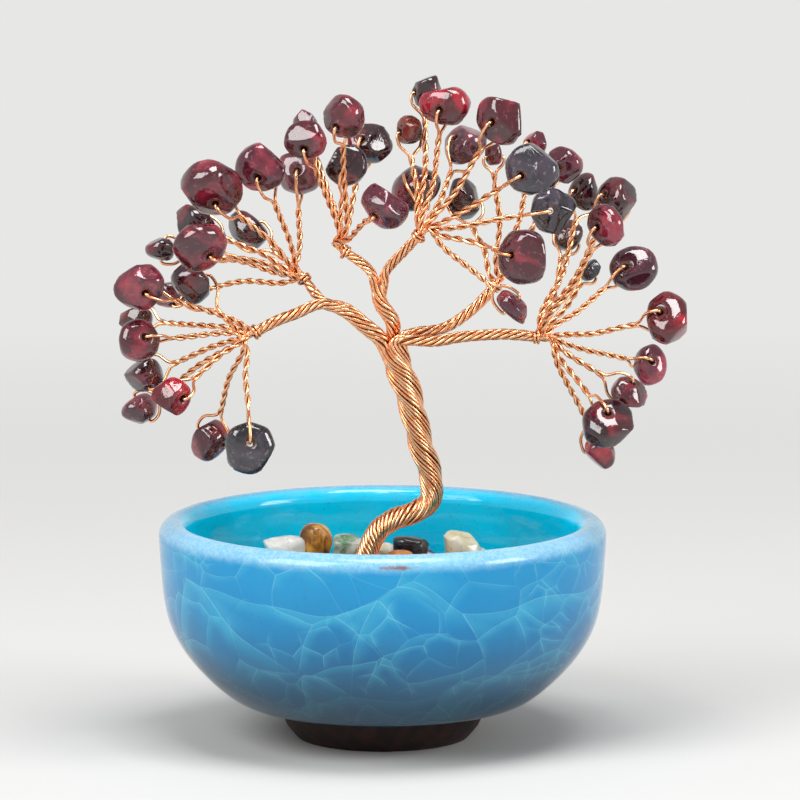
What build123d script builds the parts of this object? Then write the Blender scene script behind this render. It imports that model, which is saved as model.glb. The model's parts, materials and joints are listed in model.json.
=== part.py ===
from build123d import *
from math import cos, radians, sin
import os

# Gemstone tree ornament: a crackle glazed cup, a tree of twisted copper wire planted in it
# and drilled garnet chips threaded on the wire's ends.
# Millimetres, +Z up. The origin is the middle of the foot ring on the table, the front is -Y.

# Places on the picture, in its pixels, and the line of sight that turns them into real places
rim_span_pixels = 449
middle_pixels = 382.5
table_pixels = 737
sight_tilt = 9.6

# Bowl
bowl_radius = 37.5
bowl_height = 36.8
lip_height = 2.6
wall_thickness = 5.0
cavity_turn = 14.5
cavity_shoulder = 23.5
foot_height = 5.2
foot_radius = 14.8
foot_ring_width = 3.6
foot_recess = 2.4

# Planting bed and stones
fill_gap = 0.1
bed_over_shoulder = 1.0
bed_middle_rise = 2.0
bed_slope_run = 2.6
stone_size_share = 0.246
stone_rise = 4.0
stone_wall_gap = 0.64
stone_bed_gap = 0.9
outer_stone_count = 18

# Trunk and branch ropes
trunk_root_radius = 1.6
trunk_elbow_radius = 1.85
trunk_top_radius = 2.4
root_socket_clearance = 0.15
root_depth = 7.0
trunk_lay = 20.0
limb_lay = 11.0
rope_lay = 9.0
trunk_station = 1.2
rope_station = 1.3
trunk_strands = 8
rope_strands = 5
limb_radius = 1.25
rope_radius = 0.95
thin_rope_radius = 0.8
crown_depth = 18.0

# Twigs of twisted wire and the loops that carry the chips
wire_radius = 0.27
twig_radius = 0.48
knot_length = 3.2
knot_radius = 1.15
knot_tip_radius = 0.6
leg_clearance = 0.3
pair_overlap = 0.35
wire_sides = 5
twig_sides = 6
bore_sides = 8
bore_radius = 0.62
cut_overrun = 1.0

# Line of the trunk and of each rope: places on the picture, depth as a share of the crown's
trunk_pixels_and_shares = (
    (368, 551, -0.29),
    (378, 532, -0.24),
    (393, 521, -0.16),
    (412, 514, -0.08),
    (427, 505, -0.02),
    (432, 490, 0.0),
    (429, 470, 0.0),
    (421, 445, 0.0),
    (414, 416, 0.0),
    (406, 388, 0.0),
    (398, 366, 0.0),
    (392, 348, 0.0),
)
trunk_root_pixels_and_share = (359, 575, -0.3)
limb_pixels_and_shares = {
    "left": ((362, 325, -0.02), (345, 312, -0.02), (328, 306, -0.02)),
    "middle": ((392, 322, 0.03), (380, 303, 0.01), (379, 283, 0.0)),
}
rope_pixels_and_shares = {
    "left_low": ((300, 314, -0.1), (280, 322, -0.2)),
    "left_high": ((316, 296, 0.1),),
    "middle_left": ((364, 267, 0.03),),
    "middle_right": ((396, 262, -0.08),),
    "right_high": ((424, 333, 0.06), (444, 329, 0.1), (464, 317, 0.17), (482, 301, 0.24)),
    "right_low": ((430, 343, -0.06), (452, 340, -0.06), (480, 337, -0.06), (508, 336, -0.06)),
}
# Where each rope starts on the end of what carries it, as shares of that end's radius
limb_start_shares = {"left": (-0.48, 0.0), "middle": (0.24, 0.62)}
rope_start_shares = {
    "left_low": (0.0, -0.62),
    "left_high": (0.0, 0.66),
    "middle_left": (-0.66, 0.0),
    "middle_right": (0.66, 0.0),
    "right_high": (0.64, -0.06),
    "right_low": (0.2, -0.66),
}

belly_shares = (
    (0.64, 0.172),
    (0.76, 0.258),
    (0.885, 0.398),
    (0.957, 0.54),
    (0.99, 0.76),
)
foot_flare_share = 1.17
glaze_edge_share = 0.485
groove_share = 0.86
elbow_share = 0.36

# Outlines of tumbled chips and stones: reach at each eighth of a turn, from the wire's side on
outline_shares = {
    "round": (0.96, 1.0, 0.97, 1.0, 0.98, 1.0, 0.95, 0.99),
    "oval": (0.84, 0.93, 1.0, 0.94, 0.83, 0.91, 1.0, 0.92),
    "long": (1.0, 0.86, 0.72, 0.85, 0.99, 0.88, 0.74, 0.87),
    "egg": (0.82, 0.84, 0.9, 0.99, 1.0, 0.97, 0.89, 0.83),
    "wide": (0.68, 0.8, 0.95, 0.86, 0.7, 0.78, 1.0, 0.84),
    "wedge": (0.78, 0.95, 1.0, 0.9, 0.8, 0.86, 0.98, 0.88),
    "kite": (0.72, 0.74, 0.86, 0.98, 1.0, 0.8, 0.72, 0.7),
}
# Bevels of a tumbled piece: inset as a share of its half width, heights of its half thickness
bevel_inset_share = 0.3
low_bevel_share = 0.6
high_bevel_share = 0.68
bore_shift_share = 0.16
chip_flatness_share = 0.7
knot_start_share = 0.15
knot_waist_share = 0.4
near_side_steps = (-1, 0, 1)

# Hubs where a rope opens into twigs: place on the picture and depth as a share of the crown's
hub_pixels_and_shares = {
    "left_low": (259, 333, -0.28),
    "left_high": (306, 283, 0.17),
    "middle_left": (348, 256, 0.05),
    "middle_right": (416, 242, -0.17),
    "right_high": (493, 289, 0.28),
    "right_low": (533, 338, -0.05),
}

# Chips of each fan: place on the picture, size in its pixels, depth share of the crown's depth,
# thickness share, turn of the bore about the twig in degrees, outline
chip_pixels_and_shares = {
    "left_low": (
        (143, 291, 54, -0.69, 0.8, 10, "round"),
        (135, 320, 44, 0.23, 0.8, 70, "egg"),
        (142, 344, 46, -0.62, 0.9, -20, "round"),
        (143, 376, 47, 0.08, 0.9, 60, "oval"),
        (175, 399, 47, -0.77, 0.9, 35, "egg"),
        (137, 410, 44, 0.5, 0.9, 80, "wedge"),
        (209, 441, 50, 0.31, 0.9, 65, "oval"),
        (251, 450, 57, -0.54, 0.75, 5, "round"),
        (192, 286, 52, -0.15, 0.9, 75, "oval"),
    ),
    "left_high": (
        (203, 253, 60, -0.8, 0.75, 15, "round"),
        (168, 293, 42, 0.69, 0.8, 60, "egg"),
        (160, 250, 40, 0.15, 0.8, 80, "wedge"),
        (193, 223, 48, 0.5, 0.9, 40, "round"),
        (214, 194, 66, -0.46, 0.9, 20, "round"),
        (245, 229, 52, 0.62, 0.8, 70, "long"),
        (263, 170, 60, -0.05, 0.85, 25, "oval"),
        (299, 170, 52, 0.62, 0.8, 10, "round"),
    ),
    "middle_left": (
        (305, 124, 42, 0.42, 0.7, 60, "wedge"),
        (307, 146, 48, -0.38, 0.8, 20, "oval"),
        (345, 127, 48, -0.85, 0.9, 30, "round"),
        (367, 142, 58, 0.62, 0.9, 25, "wide"),
        (346, 170, 50, 0.0, 0.85, 15, "egg"),
        (385, 214, 54, -0.92, 0.8, 0, "round"),
    ),
    "middle_right": (
        (427, 94, 44, 0.23, 0.9, 70, "egg"),
        (445, 111, 60, -0.25, 0.8, 20, "wide"),
        (408, 133, 38, 0.08, 0.8, 60, "wedge"),
        (416, 185, 56, 0.77, 0.9, 30, "round"),
        (465, 144, 50, 0.54, 0.9, 60, "round"),
        (501, 127, 60, -0.54, 0.85, 30, "oval"),
        (529, 180, 60, -0.98, 0.75, 10, "round"),
        (553, 214, 52, -0.15, 0.8, 5, "round"),
        (521, 264, 60, -1.0, 0.75, 0, "round"),
        (514, 311, 46, -0.38, 0.6, 85, "long"),
    ),
    "right_high": (
        (463, 196, 50, 0.92, 0.9, 60, "oval"),
        (493, 157, 28, 0.15, 0.8, 80, "egg"),
        (536, 142, 34, 0.62, 0.8, 60, "egg"),
        (563, 167, 44, 0.15, 0.8, 20, "oval"),
    ),
    "right_low": (
        (586, 193, 44, 0.46, 0.9, 60, "egg"),
        (616, 201, 52, -0.08, 0.9, 65, "oval"),
        (604, 230, 50, -0.62, 0.8, 40, "wedge"),
        (570, 231, 40, 0.92, 0.9, 70, "round"),
        (630, 270, 62, 0.23, 0.6, 30, "kite"),
        (593, 268, 28, 0.77, 0.8, 80, "round"),
        (667, 323, 66, -0.31, 0.8, 40, "wide"),
        (651, 366, 48, 0.23, 0.8, 30, "wide"),
        (628, 396, 42, -0.31, 0.9, 70, "round"),
        (607, 428, 60, -0.77, 0.8, 25, "round"),
        (601, 453, 46, 0.08, 0.8, 75, "wedge"),
    ),
}

# Stones on the bed's top: places as shares of the cavity's radius, long, wide and tall shares
# of a stone's size, turn in degrees, outline
top_stone_shares = {
    "pale_stones": (
        (-0.52, 0.24, 1.0, 0.8, 1.5, 15, "oval"),
        (-0.185, 0.325, 0.82, 0.76, 1.5, 40, "round"),
        (0.4, 0.45, 1.1, 0.8, 1.42, -15, "long"),
        (-0.36, -0.06, 0.94, 0.84, 0.88, 30, "egg"),
        (0.13, -0.2, 0.9, 0.86, 0.9, 70, "round"),
        (-0.02, 0.565, 1.0, 0.8, 0.75, 10, "oval"),
        (0.46, -0.4, 0.9, 0.8, 0.75, 50, "wedge"),
        (-0.2, -0.56, 0.86, 0.7, 0.75, -30, "egg"),
    ),
    "amber_stones": (
        (-0.355, 0.475, 0.86, 0.86, 1.75, 80, "wedge"),
        (-0.37, -0.36, 1.0, 0.86, 0.8, -20, "oval"),
        (0.42, -0.1, 0.96, 0.92, 0.82, 20, "egg"),
        (0.09, 0.11, 0.7, 0.66, 1.1, 60, "round"),
        (0.12, -0.57, 0.92, 0.72, 0.75, 15, "wedge"),
    ),
    "dark_stones": (
        (0.16, 0.36, 1.1, 0.72, 1.3, -10, "long"),
        (-0.07, -0.36, 0.9, 0.8, 0.85, 15, "oval"),
        (0.26, -0.38, 0.66, 0.66, 0.8, 35, "round"),
        (0.44, 0.16, 0.96, 0.84, 0.8, 0, "egg"),
        (-0.16, 0.1, 0.76, 0.68, 0.8, 20, "egg"),
        (-0.58, -0.12, 0.62, 0.66, 0.8, 0, "round"),
    ),
}
# Stones of the outer ring, one after another: long, wide and tall shares, turn, outline
ring_stone_shares = (
    (1.16, 0.98, 0.85, 0, "oval"),
    (1.06, 1.04, 0.95, 20, "round"),
    (1.12, 0.92, 0.78, -12, "wedge"),
    (1.04, 1.0, 0.9, 35, "egg"),
    (1.14, 0.94, 0.8, 8, "long"),
)
ring_groups = ("pale_stones", "dark_stones", "amber_stones")

pixel = 2 * bowl_radius / rim_span_pixels
cavity_radius = bowl_radius - wall_thickness
cavity_floor = cavity_shoulder - cavity_turn
bed_edge_height = cavity_shoulder + bed_over_shoulder
bed_top_height = bed_edge_height + bed_middle_rise
stone_size = stone_size_share * cavity_radius
ring_half_width = max(row[1] for row in ring_stone_shares) * stone_size / 2
outer_stone_radius = cavity_radius - stone_wall_gap - ring_half_width
bed_slope_radius = outer_stone_radius - ring_half_width - stone_bed_gap
lip_base = bowl_height - lip_height
front = Vector(0, -1, 0)


def sight(across, down, depth):
    rise = (table_pixels - down) * pixel - depth * sin(radians(sight_tilt))
    return Vector((across - middle_pixels) * pixel, depth, rise / cos(radians(sight_tilt)))


def tumbled(plane, outline, half_long, half_wide, half_tall, shift):
    # a tumbled piece: an eight sided outline, drawn up along the plane's normal and bevelled
    corners = []
    for step, reach in enumerate(outline_shares[outline]):
        angle = radians(360 * step / len(outline_shares[outline]))
        corners.append((reach * half_long * cos(angle) - shift, reach * half_wide * sin(angle)))
    inset = bevel_inset_share * min(half_long, half_wide)
    with BuildPart() as piece:
        with BuildSketch(plane.offset(-half_tall)):
            Polygon(*corners, align=None)
        extrude(amount=2 * half_tall)
        across = Axis(plane.origin, plane.z_dir)
        for end, height_share in ((0, low_bevel_share), (-1, high_bevel_share)):
            cap = piece.faces().sort_by(across)[end]
            chamfer(cap.edges(), inset, height_share * half_tall, reference=cap)
    return piece.part


# Bowl: one fired piece with its foot ring, rounded lip and thick base
with BuildPart() as bowl:
    with BuildSketch(Plane.XZ):
        with BuildLine():
            foot_inner = foot_radius - foot_ring_width
            glaze_edge = (bowl_radius * glaze_edge_share, foot_height)
            belly = [(r * bowl_radius, z * bowl_height) for r, z in belly_shares]
            lip_outer = (bowl_radius, lip_base)
            lip_inner = (cavity_radius, lip_base)
            Polyline((0, foot_recess), (foot_inner, foot_recess), (foot_inner, 0), (foot_radius, 0))
            Line((foot_radius, 0), (foot_radius * foot_flare_share, foot_height))
            Line((foot_radius * foot_flare_share, foot_height), glaze_edge)
            Spline(glaze_edge, *belly, lip_outer)
            ThreePointArc(lip_outer, (bowl_radius - wall_thickness / 2, bowl_height), lip_inner)
            Line(lip_inner, (cavity_radius, cavity_shoulder))
            RadiusArc(
                (cavity_radius, cavity_shoulder),
                (cavity_radius - cavity_turn, cavity_floor),
                cavity_turn,
            )
            Line((cavity_radius - cavity_turn, cavity_floor), (0, cavity_floor))
            Line((0, cavity_floor), (0, foot_recess))
        make_face()
    revolve(axis=Axis.Z)
bowl.part.label = "bowl"

bed_bore_radius = trunk_root_radius + root_socket_clearance
trunk_foot = sight(*trunk_root_pixels_and_share[:2], trunk_root_pixels_and_share[2] * crown_depth)
root = Vector(trunk_foot.X, trunk_foot.Y, bed_top_height)

# Planting bed: plaster cast into the bowl, with a raised middle and a socket for the root
with BuildPart() as planting_bed:
    with BuildSketch(Plane.XZ):
        with BuildLine():
            bed_radius = cavity_radius - fill_gap
            bed_turn = cavity_turn - fill_gap
            bed_floor = (cavity_radius - cavity_turn, cavity_floor + fill_gap)
            Polyline(
                (bed_radius, cavity_shoulder),
                (bed_radius, bed_edge_height),
                (bed_slope_radius, bed_edge_height),
                (bed_slope_radius - bed_slope_run, bed_top_height),
                (0, bed_top_height),
                (0, cavity_floor + fill_gap),
                bed_floor,
            )
            RadiusArc((bed_radius, cavity_shoulder), bed_floor, bed_turn)
        make_face()
    revolve(axis=Axis.Z)
    with BuildSketch(Plane(origin=root - Vector(0, 0, root_depth))):
        Circle(bed_bore_radius)
    extrude(amount=root_depth + cut_overrun, mode=Mode.SUBTRACT)
planting_bed.part.label = "planting_bed"

# Stones: tumbled pieces lying flat on the bed, a group for each colour
stone_groups = {group: [] for group in top_stone_shares}
for group, rows in top_stone_shares.items():
    for across, deep, long, wide, tall, turned, outline in rows:
        half_tall = tall * stone_rise / 2
        seat = Vector(across * cavity_radius, deep * cavity_radius, bed_top_height + half_tall)
        lie = Plane(origin=seat).rotated((0, 0, turned))
        half_long = long * stone_size / 2
        half_wide = wide * stone_size / 2
        stone_groups[group].append(tumbled(lie, outline, half_long, half_wide, half_tall, 0))
for number in range(outer_stone_count):
    long, wide, tall, turned, outline = ring_stone_shares[number % len(ring_stone_shares)]
    angle = 360 * number / outer_stone_count
    half_tall = tall * stone_rise / 2
    seat = Vector(
        outer_stone_radius * cos(radians(angle)),
        outer_stone_radius * sin(radians(angle)),
        bed_edge_height + half_tall,
    )
    lie = Plane(origin=seat).rotated((0, 0, angle + 90 + turned))
    group = ring_groups[number % len(ring_groups)]
    half_long = long * stone_size / 2
    half_wide = wide * stone_size / 2
    stone_groups[group].append(tumbled(lie, outline, half_long, half_wide, half_tall, 0))


def level_plane(point, direction):
    # the plane across a rope, its x held level with the picture
    return Plane(origin=point, x_dir=Vector(0, 1, 0).cross(direction), z_dir=direction)


def strand_corners(radius, strands, turned):
    corners = []
    for step in range(2 * strands):
        angle = radians(turned + 180 * step / strands)
        reach = radius * (1.0 if step % 2 == 0 else groove_share)
        corners.append((reach * cos(angle), reach * sin(angle)))
    return corners


def rope(line, radius_at, strands, lay, step_length):
    # strands laid round a bent line: a lobed section that turns once in each lay
    stations = round(line.length / step_length)
    rings = []
    for station in range(stations + 1):
        along = station / stations
        plane = level_plane(line @ along, line % along)
        turned = -360 * along * line.length / lay
        corners = strand_corners(radius_at(along), strands, turned)
        rings.append([plane.from_local_coords(corner) for corner in corners])
    sides = [Face(Wire.make_polygon(rings[0])), Face(Wire.make_polygon(rings[-1]))]
    for lower, upper in zip(rings, rings[1:]):
        for step in range(len(lower)):
            here, there = lower[step - 1], lower[step]
            sides.append(Face(Wire.make_polygon([here, there, upper[step]])))
            sides.append(Face(Wire.make_polygon([here, upper[step], upper[step - 1]])))
    return Solid(Shell(sides))


def trunk_radius(along):
    if along < elbow_share:
        grown = along / elbow_share
        return trunk_root_radius + (trunk_elbow_radius - trunk_root_radius) * grown
    grown = (along - elbow_share) / (1 - elbow_share)
    return trunk_elbow_radius + (trunk_top_radius - trunk_elbow_radius) * grown**2


def picture_line(rows):
    return [sight(across, down, share * crown_depth) for across, down, share in rows]


def line_between(start, start_way, points):
    # a smooth line that leaves its start square and runs on through the points
    end_way = points[-1] - (points[-2] if len(points) > 1 else start)
    with BuildLine() as run:
        Spline(start, *points, tangents=(start_way, end_way))
    return run.line.edge()


# Trunk: twisted strands on a bent line, from the socket in the bed to the crotch
trunk_path = picture_line(trunk_pixels_and_shares)
trunk_start = root - Vector(0, 0, root_depth)
trunk_line = line_between(trunk_start, Vector(0, 0, 1), [root, *trunk_path])
trunk_solid = rope(trunk_line, trunk_radius, trunk_strands, trunk_lay, trunk_station)

# Limbs and ropes: strands that leave the crotch side by side and part again at the forks
limb_ends = {}
rope_solids = []


def start_on(end_plane, radius, shares):
    return end_plane.from_local_coords((shares[0] * radius, shares[1] * radius))


crotch = level_plane(trunk_line @ 1, trunk_line % 1)
for limb, rows in limb_pixels_and_shares.items():
    start = start_on(crotch, trunk_top_radius, limb_start_shares[limb])
    line = line_between(start, crotch.z_dir, picture_line(rows))
    rope_solids.append(
        rope(line, lambda along: limb_radius, rope_strands, limb_lay, rope_station)
    )
    limb_ends[limb] = level_plane(line @ 1, line % 1)

rope_ends = {}
rope_carriers = {
    "left_low": (limb_ends["left"], limb_radius, rope_radius),
    "left_high": (limb_ends["left"], limb_radius, thin_rope_radius),
    "middle_left": (limb_ends["middle"], limb_radius, thin_rope_radius),
    "middle_right": (limb_ends["middle"], limb_radius, thin_rope_radius),
    "right_high": (crotch, trunk_top_radius, rope_radius),
    "right_low": (crotch, trunk_top_radius, rope_radius),
}
for name, (end_plane, end_radius, radius) in rope_carriers.items():
    start = start_on(end_plane, end_radius, rope_start_shares[name])
    hub = hub_pixels_and_shares[name]
    points = picture_line(rope_pixels_and_shares[name] + (hub,))
    line = line_between(start, end_plane.z_dir, points)
    rope_solids.append(rope(line, lambda along: radius, rope_strands, rope_lay, rope_station))
    rope_ends[name] = level_plane(line @ 1, line % 1)


def chip_place(hub_point, row):
    # where a chip sits, which way its wire comes and how its bore lies
    across, down, size, depth, thickness, turned, outline = row
    centre = sight(across, down, depth * crown_depth)
    toward = (hub_point - centre).normalized()
    facing = front - toward * toward.dot(front)
    bore_way = facing.normalized().rotate(Axis((0, 0, 0), toward), turned)
    half_size = size * pixel / 2
    bore_point = centre + toward * bore_shift_share * half_size
    plane = Plane(origin=bore_point, x_dir=toward, z_dir=bore_way)
    half_tall = thickness * half_size * chip_flatness_share
    return plane, half_size, half_tall, outline


def near_reach(outline, half_size):
    # how far the chip's rim comes towards the twig while it swings
    reaches = [outline_shares[outline][step] for step in near_side_steps]
    return max(reaches) * half_size - bore_shift_share * half_size


def twig(start, plane, half_size, half_tall, outline):
    # a pair of twisted wires, whose ends part over the chip's shoulders and meet in its bore
    near = near_reach(outline, half_size)
    off = wire_radius + leg_clearance
    inset = bevel_inset_share * half_size
    drop = low_bevel_share * half_tall
    side = half_tall + off
    # the legs run along the chip's bevel at the same distance all the way
    lean = drop / inset
    push = off * (1 + lean**2) ** 0.5 / lean
    knee = near - inset + push - off / lean
    crotch_reach = near + push + (half_tall - drop) / lean
    path = [(crotch_reach, wire_radius), (knee, side), (0, side)]
    path += [(along, -across) for along, across in reversed(path)]
    with BuildPart() as wires:
        with BuildLine() as loop_line:
            Polyline(*[plane.from_local_coords((along, 0, across)) for along, across in path])
        with BuildSketch(Plane(origin=loop_line.line @ 0, z_dir=loop_line.line % 0)):
            RegularPolygon(wire_radius, side_count=wire_sides)
        sweep(path=loop_line.line, transition=Transition.RIGHT)
        pair_end = plane.from_local_coords((crotch_reach - pair_overlap, 0, 0))
        with BuildLine() as pair_line:
            Line(start, pair_end)
        with BuildSketch(Plane(origin=start, z_dir=pair_line.line % 0)):
            RegularPolygon(twig_radius, side_count=twig_sides)
        sweep(path=pair_line.line)
    return wires.part


# Fans: a knot on each rope's end and the twigs that leave it, fused as one run of wire
fans = {}
chip_places = []
for name, rows in chip_pixels_and_shares.items():
    end_plane = rope_ends[name]
    with BuildPart() as fan:
        for share, radius in ((0, rope_radius), (knot_waist_share, knot_radius), (1, knot_tip_radius)):
            with BuildSketch(end_plane.offset(share * knot_length)):
                RegularPolygon(radius, side_count=8)
        loft(ruled=True)
        for number, row in enumerate(rows):
            share = knot_start_share + (1 - 2 * knot_start_share) * number / (len(rows) - 1)
            start = end_plane.from_local_coords((0, 0, share * knot_length))
            place = chip_place(start, row)
            add(twig(start, *place))
            chip_places.append(place)
    fan.part.label = f"{name}_twigs"
    fans[name] = fan.part

# Garnet chips: tumbled pieces with a bore that runs free on the wire
chips = []
for number, (plane, half_size, half_tall, outline) in enumerate(chip_places, 1):
    with BuildPart() as chip:
        shift = bore_shift_share * half_size
        add(tumbled(plane, outline, half_size, half_size, half_tall, shift))
        with BuildSketch(plane.offset(-half_tall - cut_overrun)):
            RegularPolygon(bore_radius, side_count=bore_sides, major_radius=False)
        extrude(amount=2 * (half_tall + cut_overrun), mode=Mode.SUBTRACT)
    chip.part.label = f"garnet_{number:02d}"
    chips.append(chip.part)

# Files: one for each piece
os.makedirs("parts", exist_ok=True)
export_step(bowl.part, "parts/bowl.step")
export_step(planting_bed.part, "parts/planting_bed.step")
for group, stones in stone_groups.items():
    export_step(Compound(label=group, children=stones), f"parts/{group}.step")
export_step(Compound(label="trunk", children=[trunk_solid, *rope_solids]), "parts/trunk.step")
for piece in (*fans.values(), *chips):
    export_step(piece, f"parts/{piece.label}.step")
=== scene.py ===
import json
from math import cos, pi, radians, sin
from random import Random

import bmesh
import bpy
import numpy as np
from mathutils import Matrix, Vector, noise
from mathutils.bvhtree import BVHTree
from numpy.linalg import norm


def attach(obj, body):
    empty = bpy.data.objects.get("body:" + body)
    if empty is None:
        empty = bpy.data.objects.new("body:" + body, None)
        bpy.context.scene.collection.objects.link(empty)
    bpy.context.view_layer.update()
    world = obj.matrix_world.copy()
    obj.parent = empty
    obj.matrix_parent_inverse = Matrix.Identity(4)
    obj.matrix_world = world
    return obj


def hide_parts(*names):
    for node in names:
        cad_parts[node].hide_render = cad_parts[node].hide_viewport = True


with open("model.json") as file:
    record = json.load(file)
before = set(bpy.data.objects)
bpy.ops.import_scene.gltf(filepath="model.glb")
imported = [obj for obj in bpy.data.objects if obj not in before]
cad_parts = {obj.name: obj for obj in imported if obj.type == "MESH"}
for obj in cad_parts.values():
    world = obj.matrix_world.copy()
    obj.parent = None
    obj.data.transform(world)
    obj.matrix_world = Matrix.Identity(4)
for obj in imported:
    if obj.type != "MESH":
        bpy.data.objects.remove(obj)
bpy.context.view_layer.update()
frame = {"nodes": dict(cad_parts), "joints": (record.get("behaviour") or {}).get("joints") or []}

mm = 0.001
scene, nodes = bpy.context.scene, frame["nodes"]
print("frame loaded,", len(nodes), "nodes")

# places on the picture, turned into millimetres in the frame
picture = {"rimPixels": 449, "middle": 382.5, "table": 737, "tilt": 9.6, "rimRadius": 37.5, "crownDepth": 18}
pixel = 2 * picture["rimRadius"] / picture["rimPixels"]


def placeAt(across, down, depthShare):
    depth = depthShare * picture["crownDepth"]
    tilt = radians(picture["tilt"])
    rise = (picture["table"] - down) * pixel - depth * sin(tilt)
    return np.array(((across - picture["middle"]) * pixel, depth, rise / cos(tilt)))


def putIn(thing):
    scene.collection.objects.link(thing)


# the camera, at the photograph's angle
camera = {"away": 950, "aim": (2.9, 0, 56.9), "span": 133.6, "sensor": 36, "tilt": 8.4}
eye = bpy.data.objects.new("camera", bpy.data.cameras.new("camera"))
putIn(eye)
scene.camera = eye
tilt = radians(camera["tilt"])
aim = Vector(camera["aim"]) * mm
eye.location = aim + Vector((0, -cos(tilt), sin(tilt))) * camera["away"] * mm
eye.rotation_euler = (pi / 2 - tilt, 0, 0)
eye.data.sensor_width = camera["sensor"]
eye.data.lens = camera["sensor"] * camera["away"] / camera["span"]
eye.data.clip_start = 0.01
print("camera set")


# shader maths: a signal is a node's output, its operators add Math nodes
class Signal:
    def __init__(self, finish, socket):
        self.finish, self.socket = finish, socket

    def math(self, operation, *values):
        return self.finish.node("Math", {"operation": operation}, dict(enumerate(values)))

    def __add__(self, other): return self.math("ADD", self, other)
    def __radd__(self, other): return self.math("ADD", other, self)
    def __sub__(self, other): return self.math("SUBTRACT", self, other)
    def __rsub__(self, other): return self.math("SUBTRACT", other, self)
    def __mul__(self, other): return self.math("MULTIPLY", self, other)
    def __rmul__(self, other): return self.math("MULTIPLY", other, self)
    def __pow__(self, other): return self.math("POWER", self, other)
    def __abs__(self): return self.math("ABSOLUTE", self)
    def clamped(self): return self.math("MINIMUM", self.math("MAXIMUM", self, 0.0), 1.0)

    def between(self, low, high):  # 0 below low, 1 above high, smooth in between
        return self.finish.node("MapRange", {"interpolation_type": "SMOOTHSTEP"},
                                {0: self, 1: low, 2: high, 3: 0.0, 4: 1.0})


class Finish:  # a material in the making
    def __init__(self, name, **sockets):
        self.material = bpy.data.materials.new(name)
        self.material.use_nodes = True
        self.tree = self.material.node_tree
        self.shader = self.tree.nodes["Principled BSDF"]
        self.show(**sockets)

    def feed(self, socket, value):
        if isinstance(value, Signal):
            self.tree.links.new(value.socket, socket)
        elif socket.type == "RGBA":
            socket.default_value = (*value[:3], 1)
        else:
            socket.default_value = value

    def node(self, kind, settings=None, sockets=None, output=0):
        made = self.tree.nodes.new("ShaderNode" + kind)
        for key, value in (settings or {}).items():
            if key == "stops":
                for place, colour in value[len(made.color_ramp.elements):]:
                    made.color_ramp.elements.new(place)
                for stop, (place, colour) in zip(made.color_ramp.elements, value):
                    stop.position, stop.color = place, (*colour, 1)
            else:
                setattr(made, key, value)
        for key, value in (sockets or {}).items():
            self.feed(made.inputs[key], value)
        return Signal(self, made.outputs[output])

    def vector(self, operation, *values, output=0):
        return self.node("VectorMath", {"operation": operation}, dict(enumerate(values)), output)

    def place(self):
        return self.node("TexCoord", output="Object")

    def grain(self, scale, detail, distortion=0.0, shift=(0, 0, 0), roughness=0.5):
        moved = self.node("Mapping", None, {"Vector": self.place(), "Location": shift})
        return self.node("TexNoise", None, {"Vector": moved, "Scale": scale, "Detail": detail,
                                            "Roughness": roughness, "Distortion": distortion})

    def cells(self, vector, scale, feature="F1", output="Distance"):
        return self.node("TexVoronoi", {"feature": feature, "voronoi_dimensions": "2D"},
                         {"Vector": vector, "Scale": scale}, output)

    # on copper the mark is painted shade: where wires meet, and all over the cores, it darkens the colour
    def mark(self):  # the mesh's own mark: 1 in a bore or where wires meet
        return self.node("Attribute", {"attribute_name": "mark"}, None, "Fac")

    def ramp(self, value, *stops):
        return self.node("ValToRGB", {"stops": stops}, {"Fac": value})

    def mix(self, share, first, second):
        return self.node("Mix", {"data_type": "RGBA"}, {0: share, 6: first, 7: second}, 2)

    def height(self, value, strength, distance):
        bump = self.node("Bump", None, {"Height": value, "Strength": strength, "Distance": distance})
        self.feed(self.shader.inputs["Normal"], bump)

    def seen(self):  # 1 where the ray comes from the camera or a reflection, not as light
        rays = self.node("LightPath").socket.node.outputs
        kinds = [Signal(self, rays[f"Is {kind} Ray"]) for kind in ("Camera", "Glossy", "Transmission")]
        return sum(kinds[1:], kinds[0]).clamped()

    def show(self, **sockets):
        for socket, value in sockets.items():
            self.feed(self.shader.inputs[socket.replace("_", " ")], value)
        return self.material


class Sky(Finish):  # the world's nodes, made in the same way
    def __init__(self, world):
        world.use_nodes = True
        self.material, self.tree = world, world.node_tree
        self.shader = self.tree.nodes["Background"]


# mesh helpers: lines, sweeps and grids, in millimetres
def smoothLine(points, startWay, endWay, step):
    # the smooth line of part.py's splines through the points
    knots = np.array(points, float)
    gaps = norm(np.diff(knots, axis=0), axis=1)
    matrix, right = np.eye(len(knots)), np.zeros(knots.shape)
    right[0], right[-1] = [np.array(way) / norm(way) for way in (startWay, endWay)]
    for i in range(1, len(gaps)):
        before, after = gaps[i - 1], gaps[i]
        matrix[i, i - 1:i + 2] = 1 / before, 2 / before + 2 / after, 1 / after
        right[i] = 3 * ((knots[i] - knots[i - 1]) / before**2 + (knots[i + 1] - knots[i]) / after**2)
    slopes = np.linalg.solve(matrix, right)
    line = [knots[0]]
    for i, gap in enumerate(gaps):
        for t in np.linspace(0, 1, 25)[1:]:
            a, b = 2 * t**3 - 3 * t**2 + 1, t**3 - 2 * t**2 + t
            line.append(a * knots[i] + b * gap * slopes[i] + (1 - a) * knots[i + 1]
                        + (t**3 - t**2) * gap * slopes[i + 1])
    return evenLine(line, step)


def alongOf(line):  # how far along the line each point is
    return np.append(0, np.cumsum(norm(np.diff(line, axis=0), axis=1)))


def turnsOf(count):
    return np.arange(count) * 2 * pi / count


def roundAt(angles, side, up):  # at each point of a line, the way out at its angle
    return np.cos(angles)[:, None] * side + np.sin(angles)[:, None] * up


def evenLine(line, step):
    line = np.array(line)
    along = alongOf(line)
    stations = np.linspace(0, along[-1], max(3, round(along[-1] / step) + 1))
    return np.stack([np.interp(stations, along, line[:, k]) for k in range(3)], 1)


def unit(rows):
    return rows / norm(rows, axis=-1, keepdims=True)


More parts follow.
